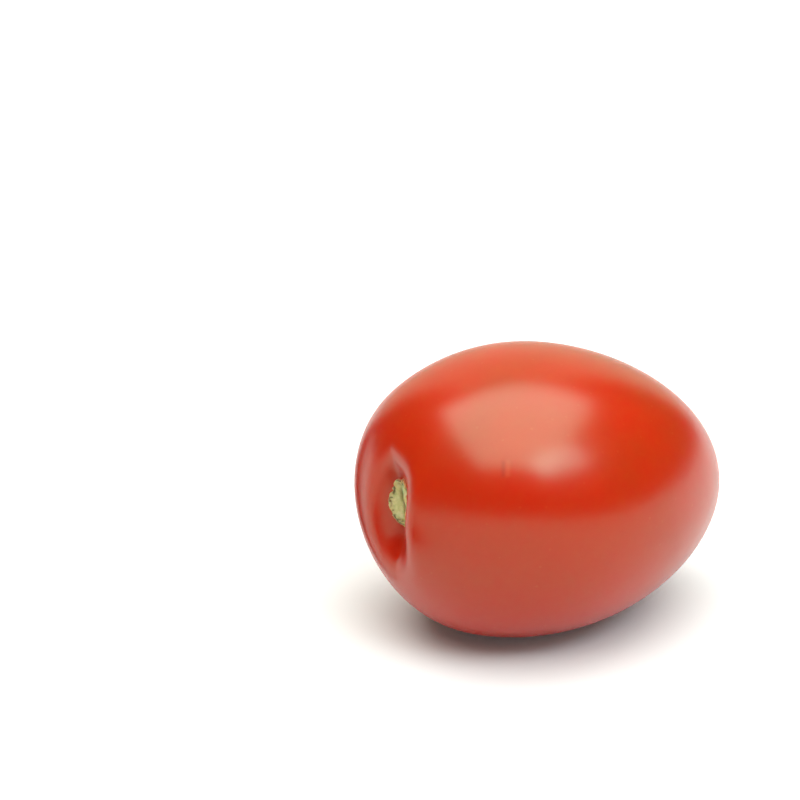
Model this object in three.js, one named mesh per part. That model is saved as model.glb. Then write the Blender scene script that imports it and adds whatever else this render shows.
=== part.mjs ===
// A ripe plum tomato, picked and lying on its side. Millimetres, +Z up.
//
// The fruit is one solid. It is first worked out about its own axis, from the stem end at -X to the
// blossom end at +X: an egg with three gentle lobes, a long hollow with a dry stem scar on its floor at one
// end, and a small blossom scar at the other. It is then laid down with the stem end a little high, and the
// skin that touches the table is pressed flat. The origin is on the table, in the middle of the fruit's
// length and width.

import * as THREE from 'three';
import { mergeVertices } from 'three/addons/utils/BufferGeometryUtils.js';

// The egg.
const LENGTH = 67.8;
const WIDTH = 54.1;
const HEIGHT = 49.7;
const EGG = [0.175, 0.025, 0.005, 0.004]; // harmonics that fill out the stem end and square the shoulders

// Three lobes, as a share of the radius, each with the direction of its first crest about the axis.
const LOBES = 3;
const SHOULDER_LOBE = { height: 0.028, crest: 22, middle: 0.75, spread: 0.38 };
const BELLY_LOBE = { height: 0.01, crest: 77 };

// The hollow at the stem end, with its distances from the fruit's axis. It is an upright bowl, with a
// furrow along its floor that runs out above and below it and bends to +Y at the top.
const BOWL = { depth: 3.7, halfWidth: 4.2, middle: -1.5, halfLength: 7.4 };
const FURROW = { depth: 0.8, halfWidth: 2.4, middle: -1.7, halfLength: 10.0, bend: 0.035 };

// The shoulder that swells up beside the hollow, at -Y.
const LIP = { height: 0.9, middle: -6.2, halfWidth: 4.2, halfLength: 10.0 };

// The dry scar where the stalk broke away: a low oval pad with an uneven rim. The rim and the waves are
// shares of the pad's size.
const SCAR = { height: 0.45, halfWidth: 2.9, middle: 0.3, halfLength: 4.4, rim: 0.14 };
const SCAR_EDGE = { waves: 7, waviness: 0.05 };

// The blossom end: a shallow dimple with a small dry point in it.
const DIMPLE = { depth: 0.5, radius: 4.5 };
const POINT = { height: 0.35, radius: 0.9 };

// How it lies.
const TILT = 6.0; // degrees that the stem end is raised
const PRESSED = 0.35; // depth of skin that the flat spot takes off
const SOFTENING = 0.3; // height over which the flat spot rounds into the belly

// The mesh.
const SECTORS = 64;
const HOLLOW_RINGS = 18;
const BODY_RINGS = 36;
const HOLLOW_ANGLE = 0.46; // angle from the stem pole out to which the rings are close together

const SKIN = { color: 0xae2104, roughness: 0.3, metalness: 0.0 };

const { abs, atan2, cos, exp, hypot, PI, sin } = Math;

// A bell that is 1 at the middle and falls to 1/e one radius out; a higher power makes a flatter floor and
// a steeper wall.
function bell(distance, radius, power) {
  return exp(-((abs(distance) / radius) ** power));
}

// The egg's outline: its radius at the angle t from the stem pole, before it is scaled to the width.
function outline(t) {
  return sin(t) * EGG.reduce((sum, share, i) => sum + share * cos((i + 1) * t), 1);
}

const WIDEST = Math.max(...Array.from({ length: 721 }, (_, i) => outline((i * PI) / 720)));

// How much the lobes swell or pinch the radius.
function lobing(t, phi) {
  const wave = (crest) => cos(LOBES * (phi - THREE.MathUtils.degToRad(crest)));
  const shoulder = SHOULDER_LOBE.height * bell(t - SHOULDER_LOBE.middle, SHOULDER_LOBE.spread, 2);
  const belly = BELLY_LOBE.height * sin(t) ** 2;
  return 1 + shoulder * wave(SHOULDER_LOBE.crest) + belly * wave(BELLY_LOBE.crest);
}

// How deep the skin is sunk at the stem end, at the place y across and z up from the axis.
function hollow(y, z) {
  const bowl = bell(y, BOWL.halfWidth, 2.2) * bell(z - BOWL.middle, BOWL.halfLength, 3.2);
  const bend = FURROW.bend * Math.max(z, 0) ** 2;
  const furrow = bell(y - bend, FURROW.halfWidth, 1.5) * bell(z - FURROW.middle, FURROW.halfLength, 5);
  const lip = bell(y - LIP.middle, LIP.halfWidth, 2) * bell(z, LIP.halfLength, 2);
  return BOWL.depth * bowl + FURROW.depth * furrow - LIP.height * lip;
}

// How far the dry scar stands up from the hollow's floor.
function scar(y, z) {
  const wide = y / SCAR.halfWidth;
  const tall = (z - SCAR.middle) / SCAR.halfLength;
  const edge = 1 + SCAR_EDGE.waviness * cos(SCAR_EDGE.waves * atan2(tall, wide));
  return SCAR.height * (1 - THREE.MathUtils.smoothstep(hypot(wide, tall), edge - SCAR.rim, edge));
}

// How deep the skin is sunk at the blossom end.
function blossom(across) {
  return DIMPLE.depth * bell(across, DIMPLE.radius, 2) - POINT.height * bell(across, POINT.radius, 4);
}

// A point of the skin, at the angle t from the stem pole and phi about the axis.
function skinPoint(t, phi) {
  const radius = (outline(t) / WIDEST) * lobing(t, phi);
  const y = (WIDTH / 2) * radius * cos(phi);
  const z = (HEIGHT / 2) * radius * sin(phi);
  const x = (-LENGTH / 2) * cos(t);
  const sunk = t < PI / 2 ? hollow(y, z) - scar(y, z) : -blossom(hypot(y, z));
  return new THREE.Vector3(x + sunk, y, z);
}

// A height above the table, once the skin that would be below it is pressed flat.
function pressed(height) {
  if (height <= 0) return 0;
  return height < SOFTENING ? height ** 2 / (2 * SOFTENING) : height - SOFTENING / 2;
}

// The angle from the stem pole of each of the mesh's rings, which are close together over the hollow.
function ringAngle(ring) {
  if (ring <= HOLLOW_RINGS) return (HOLLOW_ANGLE * ring) / HOLLOW_RINGS;
  return HOLLOW_ANGLE + ((PI - HOLLOW_ANGLE) * (ring - HOLLOW_RINGS)) / BODY_RINGS;
}

// A sphere's mesh with every point drawn out to the skin, laid on the table.
function tomatoGeometry() {
  const rings = HOLLOW_RINGS + BODY_RINGS;
  const sphere = new THREE.SphereGeometry(1, SECTORS, rings).rotateZ(PI / 2);
  sphere.deleteAttribute('normal');
  sphere.deleteAttribute('uv');
  const geometry = mergeVertices(sphere);
  const places = geometry.getAttribute('position');

  const point = new THREE.Vector3();
  for (let i = 0; i < places.count; i += 1) {
    point.fromBufferAttribute(places, i);
    const ring = Math.round((Math.acos(THREE.MathUtils.clamp(-point.x, -1, 1)) * rings) / PI);
    const skin = skinPoint(ringAngle(ring), atan2(point.z, point.y));
    places.setXYZ(i, skin.x, skin.y, skin.z);
  }

  geometry.rotateY(THREE.MathUtils.degToRad(TILT));
  geometry.computeBoundingBox();
  geometry.translate(0, 0, -PRESSED - geometry.boundingBox.min.z);
  for (let i = 0; i < places.count; i += 1) {
    places.setZ(i, pressed(places.getZ(i)));
  }

  geometry.computeBoundingBox();
  const middle = geometry.boundingBox.getCenter(new THREE.Vector3());
  geometry.translate(-middle.x, -middle.y, 0);
  geometry.computeVertexNormals();
  return geometry;
}

const tomato = new THREE.Mesh(tomatoGeometry(), new THREE.MeshStandardMaterial(SKIN));
tomato.name = 'tomato';

const model = new THREE.Group();
model.add(tomato);

export default model;
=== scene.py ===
"""The looks of a ripe plum tomato lying on a white table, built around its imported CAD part.

Lengths of the fruit are worked out in millimetres about its own axis, from the stem end at -X to the
blossom end at +X, by the same formulas as the CAD part, and turned into metres at the end. The grid is
finer than the CAD part's, and the scar has a steeper edge and a rough surface.
"""

import math

import bpy
import numpy as np
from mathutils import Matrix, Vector, noise


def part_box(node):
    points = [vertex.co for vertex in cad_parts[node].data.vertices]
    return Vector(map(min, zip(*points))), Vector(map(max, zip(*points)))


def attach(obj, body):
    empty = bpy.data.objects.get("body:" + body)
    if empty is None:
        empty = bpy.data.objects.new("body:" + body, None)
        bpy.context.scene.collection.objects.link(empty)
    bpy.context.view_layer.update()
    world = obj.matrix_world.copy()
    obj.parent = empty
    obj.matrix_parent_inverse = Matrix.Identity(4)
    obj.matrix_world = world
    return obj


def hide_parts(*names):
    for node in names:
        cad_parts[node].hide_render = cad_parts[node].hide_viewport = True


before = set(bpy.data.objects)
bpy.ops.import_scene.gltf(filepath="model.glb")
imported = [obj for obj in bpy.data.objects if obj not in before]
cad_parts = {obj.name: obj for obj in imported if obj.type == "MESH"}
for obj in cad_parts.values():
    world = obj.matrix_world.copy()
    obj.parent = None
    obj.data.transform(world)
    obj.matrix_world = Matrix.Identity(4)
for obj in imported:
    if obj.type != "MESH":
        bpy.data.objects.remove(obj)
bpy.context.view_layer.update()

NODE = "tomato"
BODY = "root"
MM = 0.001

# ------------------------------------------------------------------------------------------------ shape
# The egg. Its harmonics fill out the stem end and square the shoulders.
LENGTH = 67.8
WIDTH = 54.1
HEIGHT = 49.7
EGG = (0.175, 0.025, 0.005, 0.004)

# Three lobes, as a share of the radius, each with the direction of its first crest in degrees.
LOBES = 3
SHOULDER_LOBE = {"height": 0.028, "crest": 22, "middle": 0.75, "spread": 0.38}
BELLY_LOBE = {"height": 0.01, "crest": 77}

# The hollow at the stem end, with its distances from the fruit's axis: an upright bowl, and a furrow along
# its floor that bends to +Y at the top.
BOWL = {"depth": 3.7, "half_width": 4.2, "middle": -1.5, "half_length": 7.4}
FURROW = {"depth": 0.8, "half_width": 2.4, "middle": -1.7, "half_length": 10.0, "bend": 0.035}

# The shoulder that swells up beside the hollow, at -Y.
LIP = {"height": 0.9, "middle": -6.2, "half_width": 4.2, "half_length": 10.0}

# The dry scar on the hollow's floor: an oval pad. The rim and the waves are shares of the pad's size.
SCAR = {"height": 0.45, "half_width": 2.9, "middle": 0.3, "half_length": 4.4, "rim": 0.1}
SCAR_EDGE = {"waves": 7, "waviness": 0.05}

# A distance from the axis that holds the whole scar.
SCAR_REACH = 6.5

# How far the scar's lumps, fibres and rim stand up from the pad, and its crease and pits sink into it.
LUMP_HEIGHT = 0.14
FIBRE_HEIGHT = 0.1
RIM_HEIGHT = 0.1
CREASE_DEPTH = 0.4
PIT_DEPTH = 0.28

# The crease down the scar's middle: its place on the axis's level, its lean and its waver to the side.
CREASE = {"side": 0.5, "lean": 0.1, "waver": 0.25, "half_width": 0.22}

# The blossom end: a shallow dimple with a small dry point in it. The point's brown goes out to TIP_REACH.
DIMPLE = {"depth": 0.5, "radius": 4.5}
POINT = {"height": 0.35, "radius": 0.9}
TIP_REACH = POINT["radius"] * 1.3

# A faint unevenness of the whole skin.
WAVE_HEIGHT = 0.09
WAVE_SIZE = 13.0

# How it lies: the stem end is raised, and the skin that touches the table is pressed flat.
TILT = math.radians(6.0)
PRESSED = 0.35
SOFTENING = 0.3

# The mesh. The rings are close over the scar, given by their distances from the axis, wider over the
# hollow, and even over the body.
SECTORS = 288
SCAR_RINGS = np.arange(0.12, 6.0, 0.1)
HOLLOW_RINGS = np.arange(6.05, 14.0, 0.25)
BODY_RINGS = 168


def bell(distance, radius, power):
    """1 at the middle, falling to 1/e one radius out, with a steeper wall the higher the power."""
    return np.exp(-((np.abs(distance) / radius) ** power))


def smooth_step(value, low, high):
    """0 below low, 1 above high, and a smooth rise between."""
    share = np.clip((value - low) / (high - low), 0, 1)
    return share * share * (3 - 2 * share)


def perlin(places, size, seed):
    """Smooth noise from about -1 to 1 at each place, with bumps of about that size."""
    shift = Vector((seed * 17.3, seed * 5.7, seed * 11.9))
    values = [noise.noise(Vector(place) / size + shift) for place in places.reshape(-1, 3)]
    return np.array(values).reshape(places.shape[:-1])


def outline(t):
    """The egg's radius at the angle t from the stem pole, before it is scaled to the width."""
    return np.sin(t) * (1 + sum(share * np.cos((i + 1) * t) for i, share in enumerate(EGG)))


WIDEST = outline(np.linspace(0, math.pi, 721)).max()


def lobing(t, phi):
    """How much the lobes swell or pinch the radius."""

    def wave(crest):
        return np.cos(LOBES * (phi - math.radians(crest)))

    shoulder = SHOULDER_LOBE["height"] * bell(t - SHOULDER_LOBE["middle"], SHOULDER_LOBE["spread"], 2)
    belly = BELLY_LOBE["height"] * np.sin(t) ** 2
    return 1 + shoulder * wave(SHOULDER_LOBE["crest"]) + belly * wave(BELLY_LOBE["crest"])


def hollow(y, z):
    """How deep the skin is sunk at the stem end, at the place y across and z up from the axis."""
    bowl = bell(y, BOWL["half_width"], 2.2) * bell(z - BOWL["middle"], BOWL["half_length"], 3.2)
    bend = FURROW["bend"] * np.clip(z, 0, None) ** 2
    along = bell(z - FURROW["middle"], FURROW["half_length"], 5)
    furrow = bell(y - bend, FURROW["half_width"], 1.5) * along
    lip = bell(y - LIP["middle"], LIP["half_width"], 2) * bell(z, LIP["half_length"], 2)
    return BOWL["depth"] * bowl + FURROW["depth"] * furrow - LIP["height"] * lip


def scar_relief(y, z):
    """The scar's height over the hollow's floor, where it is, and where it is dark and corky."""
    wide = y / SCAR["half_width"]
    tall = (z - SCAR["middle"]) / SCAR["half_length"]
    across = np.hypot(wide, tall)
    around = np.arctan2(tall, wide)
    places = np.stack([np.zeros_like(y), y, z], -1)
    ragged = 0.05 * perlin(places, 0.9, 1) + 0.035 * perlin(places, 0.35, 2)
    edge = 1 + SCAR_EDGE["waviness"] * np.cos(SCAR_EDGE["waves"] * around) + ragged
    mask = 1 - smooth_step(across, edge - SCAR["rim"], edge)

    # The crease dies out towards both ends.
    crease_line = y - CREASE["side"] - CREASE["lean"] * z - CREASE["waver"] * np.sin(z * 1.1)
    crease = bell(crease_line, CREASE["half_width"], 2) * (1 - smooth_step(np.abs(z), 1.6, 3.4))
    fibres = perlin(places * np.array([1, 3.2, 1]), 0.8, 3) / 2
    lumps = perlin(places, 1.1, 4)

    # Pits are scattered along the rim.
    rim = bell(across - edge + 0.12, 0.11, 2)
    cork = 0.5 + 0.5 * perlin(places, 0.42, 5)
    pits = rim * smooth_step(cork, 0.4, 0.62)

    raised = LUMP_HEIGHT * lumps + FIBRE_HEIGHT * fibres + RIM_HEIGHT * rim
    sunk = CREASE_DEPTH * crease + PIT_DEPTH * pits
    dark = np.clip(mask * (0.7 * crease + pits + 0.3 * rim), 0, 1)
    return mask * (SCAR["height"] + raised - sunk), mask, dark


def blossom(across):
    """How deep the skin is sunk at the blossom end."""
    dimple = DIMPLE["depth"] * bell(across, DIMPLE["radius"], 2)
    return dimple - POINT["height"] * bell(across, POINT["radius"], 4)


def ring_angles():
    """The rings' angles from the stem pole, without the two poles."""
    step = 1e-4
    per_radian = WIDTH / 2 * outline(step) / step / WIDEST
    near = np.concatenate([SCAR_RINGS, HOLLOW_RINGS]) / per_radian
    far = np.linspace(near[-1], math.pi, BODY_RINGS + 1)[1:-1]
    return np.concatenate([near, far])


def fruit_points():
    """Every point of the skin in rings of sectors, with the masks that the material reads."""
    t, phi = np.meshgrid(
        np.concatenate([[0.0], ring_angles(), [math.pi]]),
        np.linspace(0, 2 * math.pi, SECTORS, endpoint=False),
        indexing="ij",
    )
    radius = outline(t) / WIDEST * lobing(t, phi)
    x = -LENGTH / 2 * np.cos(t)
    y = WIDTH / 2 * radius * np.cos(phi)
    z = HEIGHT / 2 * radius * np.sin(phi)
    across = np.hypot(y, z)

    stem_half = t < math.pi / 2
    sunk = np.where(stem_half, hollow(y, z), -blossom(across))
    near_scar = stem_half & (across < SCAR_REACH)
    height, mask, dark = np.zeros((3,) + t.shape)
    height[near_scar], mask[near_scar], dark[near_scar] = scar_relief(y[near_scar], z[near_scar])

    # The unevenness moves the skin away from the axis, and leaves the stem pole as it is.
    wave = WAVE_HEIGHT * perlin(np.stack([x, y, z], -1), WAVE_SIZE, 6) * smooth_step(t, 0.1, 0.5)
    swell = 1 + wave / (across + 1e-9)
    x = x + sunk - height
    y = y * swell
    z = z * swell
    tip = np.where(stem_half, 0, bell(np.hypot(y, z), TIP_REACH, 4))
    return np.stack([x, y, z], -1), {"scar": mask, "cork": dark, "tip": tip, "sunk": sunk * stem_half}


def laid_down(points):
    """The fruit tilted, pressed flat where it rests, and set in the middle of the CAD part's box.

    Gives the points in millimetres, and the place in metres where the fruit's own middle comes to lie.
    """
    x, y, z = np.moveaxis(points, -1, 0)
    level_x = x * math.cos(TILT) + z * math.sin(TILT)
    level_z = -x * math.sin(TILT) + z * math.cos(TILT)
    low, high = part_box(NODE)
    shift_x = (low.x + high.x) / 2 / MM - (level_x.min() + level_x.max()) / 2
    shift_y = (low.y + high.y) / 2 / MM - (y.min() + y.max()) / 2
    lift = -level_z.min() - PRESSED
    height = np.clip(level_z + lift, 0, None)
    height = np.where(height < SOFTENING, height**2 / (2 * SOFTENING), height - SOFTENING / 2)
    middle = Vector((shift_x, shift_y, lift - SOFTENING / 2 + low.z / MM)) * MM
    return np.stack([level_x + shift_x, y + shift_y, height + low.z / MM], -1), middle


def new_object(name, data):
    """An object with that name and data, in the scene."""
    made = bpy.data.objects.new(name, data)
    bpy.context.scene.collection.objects.link(made)
    return made


def grid_mesh(name, points, masks):
    """A closed mesh from rings of points whose first and last rings are the two poles."""
    rings, sectors = points.shape[:2]
    inner = points[1:-1].reshape(-1, 3)
    places = np.concatenate([points[:1, 0], inner, points[-1:, 0]]) * MM
    first, last = 0, len(places) - 1
    index = 1 + np.arange((rings - 2) * sectors).reshape(rings - 2, sectors)
    turned = np.roll(index, -1, axis=1)
    quads = np.stack([index[:-1], index[1:], turned[1:], turned[:-1]], -1).reshape(-1, 4)
    faces = quads.tolist()
    faces += [[first, a, b] for a, b in zip(index[0].tolist(), turned[0].tolist())]
    faces += [[last, b, a] for a, b in zip(index[-1].tolist(), turned[-1].tolist())]
    mesh = bpy.data.meshes.new(name)
    mesh.from_pydata(places.tolist(), [], faces)
    mesh.validate()
    mesh.polygons.foreach_set("use_smooth", [True] * len(mesh.polygons))
    for mask_name, values in masks.items():
        flat = np.concatenate([values[:1, 0], values[1:-1].ravel(), values[-1:, 0]])
        layer = mesh.attributes.new(mask_name, "FLOAT", "POINT")
        layer.data.foreach_set("value", flat.astype(np.float32))
    mesh.update()
    return new_object(name, mesh)


# --------------------------------------------------------------------------------------------- materials
DEEP_RED = (0.430, 0.0100, 0.0010)
RIPE_RED = (0.395, 0.0150, 0.0012)
# Painted light: the orange red that the lit top and the blossom end turn to.
LIT_ORANGE_RED = (0.300, 0.0265, 0.0015)
# Painted shade: the deeper red of the stem-end hollow.
HOLLOW_SHADE_RED = (0.43, 0.0070, 0.0008)
MOTTLE_ORANGE = (0.42, 0.045, 0.008)
PORE_ORANGE = (0.50, 0.12, 0.03)
SCAR_PALE = (0.62, 0.52, 0.26)
SCAR_GREEN = (0.46, 0.42, 0.17)
SCAR_CORK = (0.10, 0.065, 0.022)
TIP_BROWN = (0.17, 0.080, 0.030)
# Painted shade and painted highlight: the scratch's dark edge and its pale edge.
MARK_PAINTED_SHADE = (0.28, 0.0080, 0.0012)
MARK_PAINTED_HIGHLIGHT = (0.46, 0.0420, 0.0150)

# The sizes in millimetres of the patches of ripeness, the mottling, the spacing of the pores, the scar's
# grain, the orange-peel and the scar's fibres.
PATCH_SIZE = 17.0
MOTTLE_SIZE = 1.6
PORE_SPACING = 2.6
GRAIN_SIZE = 0.55
PEEL_SIZE = 0.9
FIBRE_SIZE = 0.22

# Painted light: the skin turns more orange with the height and towards the blossom end, where the light is
# brighter, between these places in millimetres, and a little in real patches of ripeness. The shares say how
# much each of them counts.
PAINTED_LIGHT_HEIGHTS = (12, 50)
PAINTED_LIGHT_LENGTHS = (-33, 33)
PAINTED_LIGHT_HEIGHT_SHARE = 0.7
PAINTED_LIGHT_LENGTH_SHARE = 0.35
PATCH_SHARE = 0.22

# Painted shade in the stem-end hollow, a deeper red: how deep in millimetres the skin is sunk where it
# starts and where it is full, and how strong it is there.
HOLLOW_SHADE_DEPTHS = (1.0, 3.4)
HOLLOW_SHADE_SHARE = 0.55

# The heights in millimetres of the relief that is too fine for the mesh.
PEEL_RELIEF = 0.004
FIBRE_RELIEF = 0.10
MARK_RELIEF = 0.02

# The waxy skin and the dry scar. Light goes some millimetres into the flesh, the red furthest.
SKIN_ROUGHNESS = 0.27
DRY_ROUGHNESS = 0.78
SKIN_IOR = 1.55
GLOSS_TINT = (0.33, 0.95, 0.64, 1.0)
FLESH_DEPTH = 6.0
FLESH_COLOURS = (1.0, 0.12, 0.06)

# The healed scratch: its place from the fruit's middle in millimetres, and the way it runs. It fades out
# between the two distances along its line, and between the two from its middle, which keep it off the
# fruit's other side. Its painted shade, a dark edge, and its painted highlight, a pale edge, each lie aside
# from its line, and fade over their spread.
MARK_PLACE = (-23.0, -18.1, 13.7)
MARK_ALONG = (-1.0, -1.3, -2.6)
MARK_ENDS = (0.9, 1.7)
MARK_REACH = (1.7, 2.2)
MARK_SHADE_EDGE = {"aside": -0.35, "spread": 0.45}
MARK_HIGHLIGHT_EDGE = {"aside": 0.3, "spread": 0.55}
MARK_SHADE_SHARE = 0.6
MARK_HIGHLIGHT_SHARE = 0.7


class Nodes:
    """A short way to write a material's nodes."""

    def __init__(self, name):
        self.material = bpy.data.materials.new(name)
        self.material.use_nodes = True
        self.tree = self.material.node_tree
        self.shader = self.tree.nodes["Principled BSDF"]

    def add(self, kind, inputs=(), **settings):
        """A node of that kind, with its inputs given by name or number."""
        node = self.tree.nodes.new(kind)
        for name, value in settings.items():
            setattr(node, name, value)
        for name, value in dict(inputs).items():
            self.set(node.inputs[name], value)
        return node

    def set(self, socket, value):
        """Link the socket to another, or give it a fixed value."""
        if isinstance(value, bpy.types.NodeSocket):
            self.tree.links.new(value, socket)
        else:
            socket.default_value = value

    def attribute(self, name):
        return self.add("ShaderNodeAttribute", attribute_name=name).outputs["Fac"]

    def noise(self, where, size_mm, detail=2.0, roughness=0.5):
        inputs = {"Vector": where, "Scale": 1 / (size_mm * MM), "Detail": detail, "Roughness": roughness}
        return self.add("ShaderNodeTexNoise", inputs).outputs["Fac"]

    def span(self, value, low, high, to_low=0.0, to_high=1.0, smooth=False):
        """The value's place from low to high, as a number from to_low to to_high."""
        inputs = {"Value": value, "From Min": low, "From Max": high, "To Min": to_low, "To Max": to_high}
        kind = "SMOOTHSTEP" if smooth else "LINEAR"
        return self.add("ShaderNodeMapRange", inputs, interpolation_type=kind).outputs["Result"]

    def math(self, operation, a, b=0.0):
        return self.add("ShaderNodeMath", {0: a, 1: b}, operation=operation).outputs[0]

    def vector_math(self, operation, a, b=(0.0, 0.0, 0.0)):
        output = "Value" if operation in ("LENGTH", "DOT_PRODUCT") else "Vector"
        return self.add("ShaderNodeVectorMath", {0: a, 1: b}, operation=operation).outputs[output]

    def between(self, share, a, b):
        """The number that is that share of the way from a to b."""
        inputs = {"Factor": share, "A": a, "B": b}
        return self.add("ShaderNodeMix", inputs, data_type="FLOAT").outputs["Result"]

    def mix(self, share, a, b):
        """The colour that is that share of the way from a to b."""
        node = self.add("ShaderNodeMix", data_type="RGBA")
        self.set(node.inputs["Factor"], share)
        self.set(node.inputs["A"], a if isinstance(a, bpy.types.NodeSocket) else (*a, 1.0))
        self.set(node.inputs["B"], b if isinstance(b, bpy.types.NodeSocket) else (*b, 1.0))
        return node.outputs["Result"]


def painted_light_and_ripeness(n, where):
    """Painted light: deep red low down and at the stem end, a shade more orange on the lit top and the
    blossom end, with real patches of ripeness.
    """
    axes = n.add("ShaderNodeSeparateXYZ", {"Vector": where})
    upward = n.span(axes.outputs["Z"], *(height * MM for height in PAINTED_LIGHT_HEIGHTS))
    forward = n.span(axes.outputs["X"], *(length * MM for length in PAINTED_LIGHT_LENGTHS))
    patches = n.span(n.noise(where, PATCH_SIZE), 0.3, 0.7, -PATCH_SHARE, PATCH_SHARE)
    lit_and_ripe = n.math("ADD", n.math("MULTIPLY", upward, PAINTED_LIGHT_HEIGHT_SHARE), n.math("MULTIPLY", forward, PAINTED_LIGHT_LENGTH_SHARE))
    lit_and_ripe = n.math("ADD", lit_and_ripe, patches)
    skin = n.mix(n.span(lit_and_ripe, 0.0, 0.55, smooth=True), DEEP_RED, RIPE_RED)
    return n.mix(n.span(lit_and_ripe, 0.45, 1.25, smooth=True), skin, LIT_ORANGE_RED)


def speckled(n, where, skin):
    """The skin with fine mottling and a few pale pores under the wax."""
    mottle = n.noise(where, MOTTLE_SIZE, 3.0, 0.6)
    skin = n.mix(n.span(mottle, 0.35, 0.75, 0.0, 0.08), skin, MOTTLE_ORANGE)
    inputs = {"Vector": where, "Scale": 1 / (PORE_SPACING * MM), "Randomness": 1.0}
    pores = n.add("ShaderNodeTexVoronoi", inputs)
    return n.mix(n.span(pores.outputs["Distance"], 0.03, 0.12, 0.10, 0.0), skin, PORE_ORANGE)


def scratch_shade_and_highlight(n, where, fruit_middle):
    """A short healed scratch on the near shoulder: how strong the painted shade on its one edge is and the
    painted highlight on its other.
    """
    along = Vector(MARK_ALONG).normalized()
    aside = (Vector((1, 0, 0)) - along * along.x).normalized()
    local = n.vector_math("SUBTRACT", where, fruit_middle + Vector(MARK_PLACE) * MM)
    length = n.math("ABSOLUTE", n.vector_math("DOT_PRODUCT", local, along))
    width = n.vector_math("DOT_PRODUCT", local, aside)
    reach = n.vector_math("LENGTH", local)
    ends = n.span(length, *(end * MM for end in MARK_ENDS), 1.0, 0.0, smooth=True)
    near = n.span(reach, *(distance * MM for distance in MARK_REACH), 1.0, 0.0, smooth=True)
    ends = n.math("MULTIPLY", ends, near)

    def edge(aside, spread):
        distance = n.math("ABSOLUTE", n.math("SUBTRACT", width, aside * MM))
        return n.math("MULTIPLY", ends, n.span(distance, 0.0, spread * MM, 1.0, 0.0, smooth=True))

    return edge(**MARK_SHADE_EDGE), edge(**MARK_HIGHLIGHT_EDGE)


def scar_colour(n, where, cork):
    """Straw-coloured and pale green, and dark where it is corky."""
    grain = n.noise(where, GRAIN_SIZE, 4.0, 0.65)
    pale = n.mix(n.span(grain, 0.38, 0.66), SCAR_GREEN, SCAR_PALE)
    return n.mix(cork, pale, SCAR_CORK)


def fine_relief(n, where, dry, mark):
    """A faint orange-peel on the skin, fibres on the scar, and the scratch's two edges."""
    peel = n.noise(where, PEEL_SIZE)
    fibre = n.noise(where, FIBRE_SIZE, 3.0, 0.7)
    height = n.between(dry, PEEL_RELIEF, FIBRE_RELIEF)
    raised = n.math("MULTIPLY", n.between(dry, peel, fibre), height)
    raised = n.math("ADD", raised, n.math("MULTIPLY", mark, MARK_RELIEF))
    return n.add("ShaderNodeBump", {"Height": raised, "Distance": MM, "Strength": 1.0}).outputs["Normal"]


def tomato_material(fruit_middle):
    """Waxy red skin over flesh that lets some light in, with the dry scar and the brown tip, and painted
    light: an oranger lit top, a shaded hollow and the shade and highlight of a scratch.
    """
    n = Nodes("tomato_skin")
    where = n.add("ShaderNodeTexCoord").outputs["Object"]
    scar, cork, tip, sunk = (n.attribute(name) for name in ("scar", "cork", "tip", "sunk"))
    dry = n.math("MAXIMUM", scar, tip)

    # Painted light: a more orange skin on the lit top and the blossom end, over real patches of ripeness.
    skin = speckled(n, where, painted_light_and_ripeness(n, where))
    # Painted shade: a deeper red where the skin is sunk in the stem-end hollow.
    skin = n.mix(n.span(sunk, *HOLLOW_SHADE_DEPTHS, 0.0, HOLLOW_SHADE_SHARE, smooth=True), skin, HOLLOW_SHADE_RED)
    mark_shade, mark_highlight = scratch_shade_and_highlight(n, where, fruit_middle)
    # The scratch's dark edge is painted shade, and its pale edge a painted highlight, beside its real
    # relief.
    skin = n.mix(n.math("MULTIPLY", mark_shade, MARK_SHADE_SHARE), skin, MARK_PAINTED_SHADE)
    skin = n.mix(n.math("MULTIPLY", mark_highlight, MARK_HIGHLIGHT_SHARE), skin, MARK_PAINTED_HIGHLIGHT)
    colour = n.mix(scar, skin, scar_colour(n, where, cork))
    colour = n.mix(tip, colour, TIP_BROWN)
    mark = n.math("SUBTRACT", mark_highlight, mark_shade)

    n.set(n.shader.inputs["Base Color"], colour)
    n.set(n.shader.inputs["Roughness"], n.between(dry, SKIN_ROUGHNESS, DRY_ROUGHNESS))
    n.set(n.shader.inputs["Normal"], fine_relief(n, where, dry, mark))
    n.set(n.shader.inputs["IOR"], SKIN_IOR)
    n.set(n.shader.inputs["Specular Tint"], GLOSS_TINT)
    n.set(n.shader.inputs["Subsurface Weight"], 1.0)
    n.set(n.shader.inputs["Subsurface Radius"], FLESH_COLOURS)
    n.set(n.shader.inputs["Subsurface Scale"], FLESH_DEPTH * MM)
    return n.material


def matt(n, colour):
    """Set the material's shader to that colour, with no gloss."""
    n.set(n.shader.inputs["Base Color"], (*colour, 1.0))
    n.set(n.shader.inputs["Specular IOR Level"], 0.0)


# ------------------------------------------------------------------------------------------------- stage
# The stage's lengths are in metres, apart from the camera's lens and sensor, which are in millimetres. The
# lights' radiances are in watts per square metre and steradian.

# The camera looks down at the fruit from the side of the stem end. The fruit is right of the middle of the
# picture and below it.
VIEW_SIDE = math.radians(-35)
VIEW_HEIGHT = math.radians(19)
VIEW_DISTANCE = 0.3828
AIM_LEFT = 0.0253
AIM_ABOVE = 0.0147
LENS = 100
SENSOR = 36
NEAREST_SEEN = 0.01

# The softbox overhead: its height over the fruit's middle, and its width and its reach away from the camera
# and towards it, as shares of that height.
BOX_HEIGHT = 1.3
BOX_WIDTH = 1.60
BOX_BACK = 0.53
BOX_FRONT = 1.02
BOX_RADIANCE = 4.6

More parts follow.
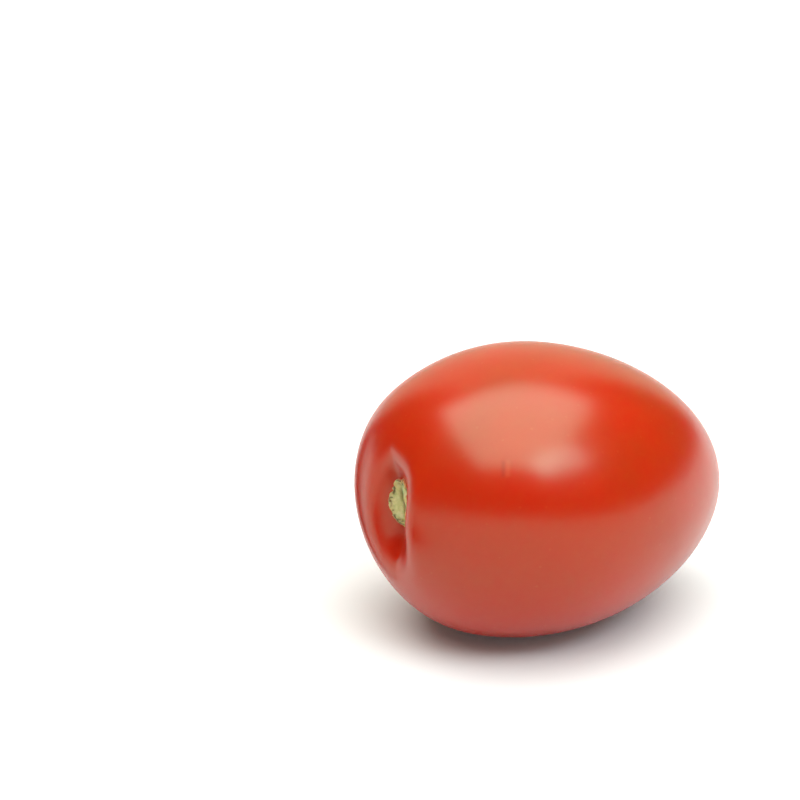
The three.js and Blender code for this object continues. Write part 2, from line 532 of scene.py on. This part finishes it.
# The wall of light behind the fruit, which stands on the table. Its top is that many degrees up.
WALL_DISTANCE = 1.7
WALL_WIDTH = 2.1
WALL_TOP = 54
WALL_RADIANCE = 0.8
WALL_COLOUR = (0.85, 1.0, 0.72)

# The window and the fill, as far from the fruit's middle as each other. Side is the number of degrees to the
# right of the camera's side of the fruit, and height the number above the level.
LAMP_DISTANCE = 1.2
WINDOW = {"side": 50, "height": 43.5, "size": (0.76, 0.32), "radiance": 5.6, "colour": (0.70, 1.0, 1.2)}
FILL = {"side": 25, "height": 40, "size": (0.8, 0.8), "radiance": 1.7, "colour": (1.0, 1.0, 1.0)}

# The floor glows a little, and more to the camera far away, where it runs on into the white background.
FLOOR_HALF = 6.0
FLOOR_WHITE = (0.64, 0.635, 0.605)
FLOOR_ROUGHNESS = 0.9
FLOOR_GLOW = 0.04
FAR_GLOW = 1.1
FAR_FROM = 0.2
FAR_TO = 0.8

# The flags stand close to the fruit. Each is an oval, given by its middle, to the left of the fruit's
# middle, behind it and above the table, and by its half width and half height. It is solid for the share
# of the way to its edge that solid gives. FLAG_TURN turns it from the camera's way ahead.
RIM_FLAG = {"left": 0.045, "behind": 0.022, "above": 0.012, "wide": 0.037, "tall": 0.032, "solid": 0.6}
HOLLOW_FLAG = {"left": 0.058, "behind": -0.036, "above": 0.008, "wide": 0.022, "tall": 0.016, "solid": 0.15}
FLAG_TURN = math.radians(15)
FLAG_RED = (0.30, 0.012, 0.004)

# What everything but the camera sees all round, and what the camera sees.
STUDIO_DIM = (0.050, 0.045, 0.035, 1)
STUDIO_WHITE = (1.0, 1.0, 1.0, 1)


def view_axes():
    """The camera's right, its way ahead along the table, its way forward, and its up."""
    right = Vector((math.cos(VIEW_SIDE), math.sin(VIEW_SIDE), 0))
    level = Vector((-math.sin(VIEW_SIDE), math.cos(VIEW_SIDE), 0))
    forward = level * math.cos(VIEW_HEIGHT) - Vector((0, 0, math.sin(VIEW_HEIGHT)))
    return right, level, forward, right.cross(forward)


def add_camera(fruit_middle):
    """The photo's view of the fruit."""
    right, _, forward, up = view_axes()
    camera = new_object("camera", bpy.data.cameras.new("camera"))
    camera.data.lens = LENS
    camera.data.sensor_width = SENSOR
    camera.data.clip_start = NEAREST_SEEN
    camera.location = fruit_middle - forward * VIEW_DISTANCE - right * AIM_LEFT + up * AIM_ABOVE
    camera.rotation_euler = forward.to_track_quat("-Z", "Y").to_euler()
    bpy.context.scene.camera = camera


def add_light(name, place, size, radiance, colour=(1.0, 1.0, 1.0)):
    """A flat soft light. Its power is worked out from its brightness and its size."""
    data = bpy.data.lights.new(name, "AREA")
    data.shape = "RECTANGLE"
    data.size, data.size_y = size
    data.energy = radiance * math.pi * size[0] * size[1]
    data.color = colour
    light = new_object(name, data)
    light.location = place
    return light


def turn_to(light, facing):
    """Turn the light to shine that way."""
    light.rotation_euler = facing.to_track_quat("-Z", "Y").to_euler()


def add_overhead(fruit_middle):
    """The softbox above the fruit, level, and square to the camera."""
    _, level, _, _ = view_axes()
    forward_of_middle = (BOX_FRONT - BOX_BACK) / 2 * BOX_HEIGHT
    place = fruit_middle + Vector((0, 0, BOX_HEIGHT)) - level * forward_of_middle
    size = (BOX_WIDTH * BOX_HEIGHT, (BOX_FRONT + BOX_BACK) * BOX_HEIGHT)
    overhead = add_light("overhead", place, size, BOX_RADIANCE)
    overhead.rotation_euler = (0, 0, VIEW_SIDE)


def add_back_wall(fruit_middle):
    """A weak, slightly yellow-green wall of light behind the fruit."""
    _, level, _, _ = view_axes()
    height = WALL_DISTANCE * math.tan(math.radians(WALL_TOP))
    place = Vector((fruit_middle.x, fruit_middle.y, height / 2)) + level * WALL_DISTANCE
    wall = add_light("back_wall", place, (WALL_WIDTH, height), WALL_RADIANCE, WALL_COLOUR)
    turn_to(wall, -level)


def add_lamp(name, fruit_middle, side, height, size, radiance, colour):
    """A light that faces the fruit's middle."""
    right, level, _, _ = view_axes()
    side, height = math.radians(side), math.radians(height)
    round_about = right * math.sin(side) - level * math.cos(side)
    way = round_about * math.cos(height) + Vector((0, 0, math.sin(height)))
    lamp = add_light(name, fruit_middle + way * LAMP_DISTANCE, size, radiance, colour)
    turn_to(lamp, -way)
    return lamp


def add_lights(fruit_middle):
    add_overhead(fruit_middle)
    add_back_wall(fruit_middle)
    add_lamp("window", fruit_middle, **WINDOW)

    # The skin's gloss doesn't see the fill, which lightens the near side and the shadow.
    add_lamp("fill", fruit_middle, **FILL).visible_glossy = False


def add_floor():
    """The white table."""
    half = FLOOR_HALF
    mesh = bpy.data.meshes.new("floor")
    corners = [(-half, -half, 0), (half, -half, 0), (half, half, 0), (-half, half, 0)]
    mesh.from_pydata(corners, [], [(0, 1, 2, 3)])
    n = Nodes("floor_white")
    matt(n, FLOOR_WHITE)
    n.set(n.shader.inputs["Roughness"], FLOOR_ROUGHNESS)
    n.set(n.shader.inputs["Emission Color"], (1.0, 1.0, 1.0, 1.0))
    where = n.add("ShaderNodeTexCoord").outputs["Object"]
    far = n.span(n.vector_math("LENGTH", where), FAR_FROM, FAR_TO, 0.0, FAR_GLOW, smooth=True)
    seen = n.add("ShaderNodeLightPath").outputs["Is Camera Ray"]
    n.set(n.shader.inputs["Emission Strength"], n.math("ADD", n.math("MULTIPLY", far, seen), FLOOR_GLOW))
    mesh.materials.append(n.material)
    floor = new_object("floor", mesh)


def flag_material(middle, wide, tall, solid):
    """Dark red, thinning out towards the oval's edge, so that its reflection has no outline."""
    n = Nodes("flag_red")
    matt(n, FLAG_RED)
    n.set(n.shader.inputs["Roughness"], 1.0)
    where = n.add("ShaderNodeNewGeometry").outputs["Position"]
    away = n.vector_math("SUBTRACT", where, middle)
    shares = n.vector_math("MULTIPLY", away, Vector((1 / wide, 1 / wide, 1 / tall)))
    edge = n.vector_math("LENGTH", shares)
    n.set(n.shader.inputs["Alpha"], n.span(edge, solid, 1.0, 1.0, 0.0, smooth=True))
    return n.material


def add_flag(name, fruit_middle, left, behind, above, wide, tall, solid):
    """A dark red card on the left that only reflections show, to keep the white studio out of the gloss."""
    right, level, _, _ = view_axes()
    middle = fruit_middle - right * left + level * behind
    middle.z = above
    half = (level * math.cos(FLAG_TURN) - right * math.sin(FLAG_TURN)) * wide
    top = Vector((0, 0, tall))
    foot = Vector((0, 0, -min(tall, above)))
    mesh = bpy.data.meshes.new(name)
    corners = [middle - half + foot, middle + half + foot, middle + half + top, middle - half + top]
    mesh.from_pydata(corners, [], [(0, 1, 2, 3)])
    mesh.materials.append(flag_material(middle, wide, tall, solid))
    flag = new_object(name, mesh)
    flag.visible_camera = False
    flag.visible_diffuse = False
    flag.visible_shadow = False


def add_world():
    """A dim studio all round, which the camera sees as plain white."""
    world = bpy.data.worlds.new("studio")
    bpy.context.scene.world = world
    world.use_nodes = True
    nodes, links = world.node_tree.nodes, world.node_tree.links
    background = nodes["Background"]
    path = nodes.new("ShaderNodeLightPath")
    mix = nodes.new("ShaderNodeMix")
    mix.data_type = "RGBA"
    mix.inputs["A"].default_value = STUDIO_DIM
    mix.inputs["B"].default_value = STUDIO_WHITE
    links.new(path.outputs["Is Camera Ray"], mix.inputs["Factor"])
    links.new(mix.outputs["Result"], background.inputs["Color"])


# ------------------------------------------------------------------------------------------------- build
points, masks = fruit_points()
places, fruit_middle = laid_down(points)
fruit = grid_mesh("tomato_fruit", places, masks)
fruit.data.materials.append(tomato_material(fruit_middle))
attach(fruit, BODY)
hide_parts(NODE)

add_camera(fruit_middle)
add_lights(fruit_middle)
add_floor()
add_flag("rim_flag", fruit_middle, **RIM_FLAG)
add_flag("hollow_flag", fruit_middle, **HOLLOW_FLAG)
add_world()
bpy.context.scene.view_settings.view_transform = "Standard"
